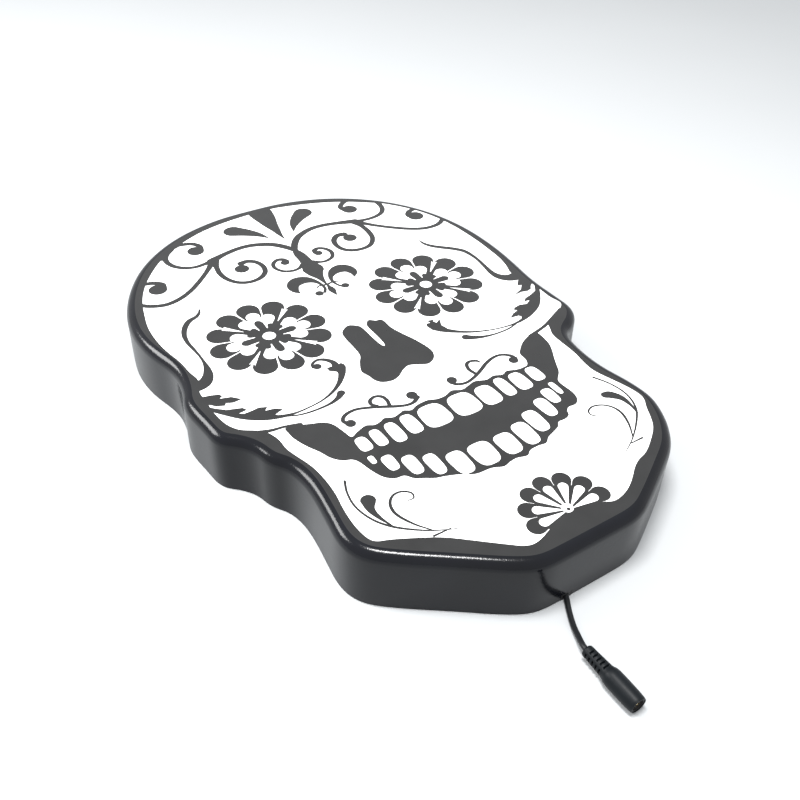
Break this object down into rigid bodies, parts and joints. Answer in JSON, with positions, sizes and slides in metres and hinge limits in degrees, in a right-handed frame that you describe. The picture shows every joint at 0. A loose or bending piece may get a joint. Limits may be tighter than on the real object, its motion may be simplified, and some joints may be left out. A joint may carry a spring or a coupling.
{
  "type": "skull shaped led light box",
  "caption": "Skull-shaped light box: thermoformed opal shell, black sides and printed ornament, screwed back panel with light modules, short lead with an inline barrel socket.",
  "frame": {"origin": "on the surface the back rim rests on, under the middle of the shell's box", "axes": "+Z out of the printed face, +Y towards the crown, +X to the right of someone who faces it"},
  "size_m": [0.2729, 0.4701, 0.0381],
  "materials": {
    "opal": "satin opal thermoformed sheet",
    "coat": "gloss black printed and formed over the edge",
    "ink": "satin dark printed ink",
    "panel": "black foamed board",
    "reflector": "matte white sheet",
    "timber": "raw softwood",
    "screw_steel": "zinc plated",
    "hanger_steel": "zinc plated pressed sheet",
    "foam_pad": "acrylic foam",
    "module_plastic": "moulded satin",
    "board": "white solder mask",
    "chip": "phosphor",
    "lens": "clear moulded",
    "wire": "soft insulation",
    "shrink": "shrunk sleeve",
    "clip_nylon": "natural nylon",
    "bush_rubber": "soft moulded",
    "lead_jacket": "satin flexible jacket",
    "socket_plastic": "satin overmould",
    "insert_plastic": "moulded insulator",
    "contact_metal": "plated spring metal",
    "pin_metal": "plated"
  },
  "bodies": {
    "root": {"opal_shell": "opal", "black_coat": "coat", "eye_print": "ink", "brow_print": "ink", "cheek_print": "ink", "nose_print": "ink", "mouth_print": "ink", "chin_print": "ink", "back_panel": "panel", "reflector_sheet": "reflector", "fixing_blocks": "timber", "panel_screws": "screw_steel", "hanger_plates": "hanger_steel", "hanger_screws": "screw_steel", "module_pads": "foam_pad", "module_housings": "module_plastic", "module_boards": "board", "module_chips": "chip", "module_lenses": "lens", "module_wires": "wire", "lead_splices": "shrink", "cable_clip": "clip_nylon", "clip_screws": "screw_steel", "cable_bush": "bush_rubber", "lead_inner": "lead_jacket", "lead_cord": "lead_jacket", "socket_overmould": "socket_plastic", "socket_insert": "insert_plastic", "socket_contact": "contact_metal", "socket_pin": "pin_metal"}
  },
  "joints": []
}
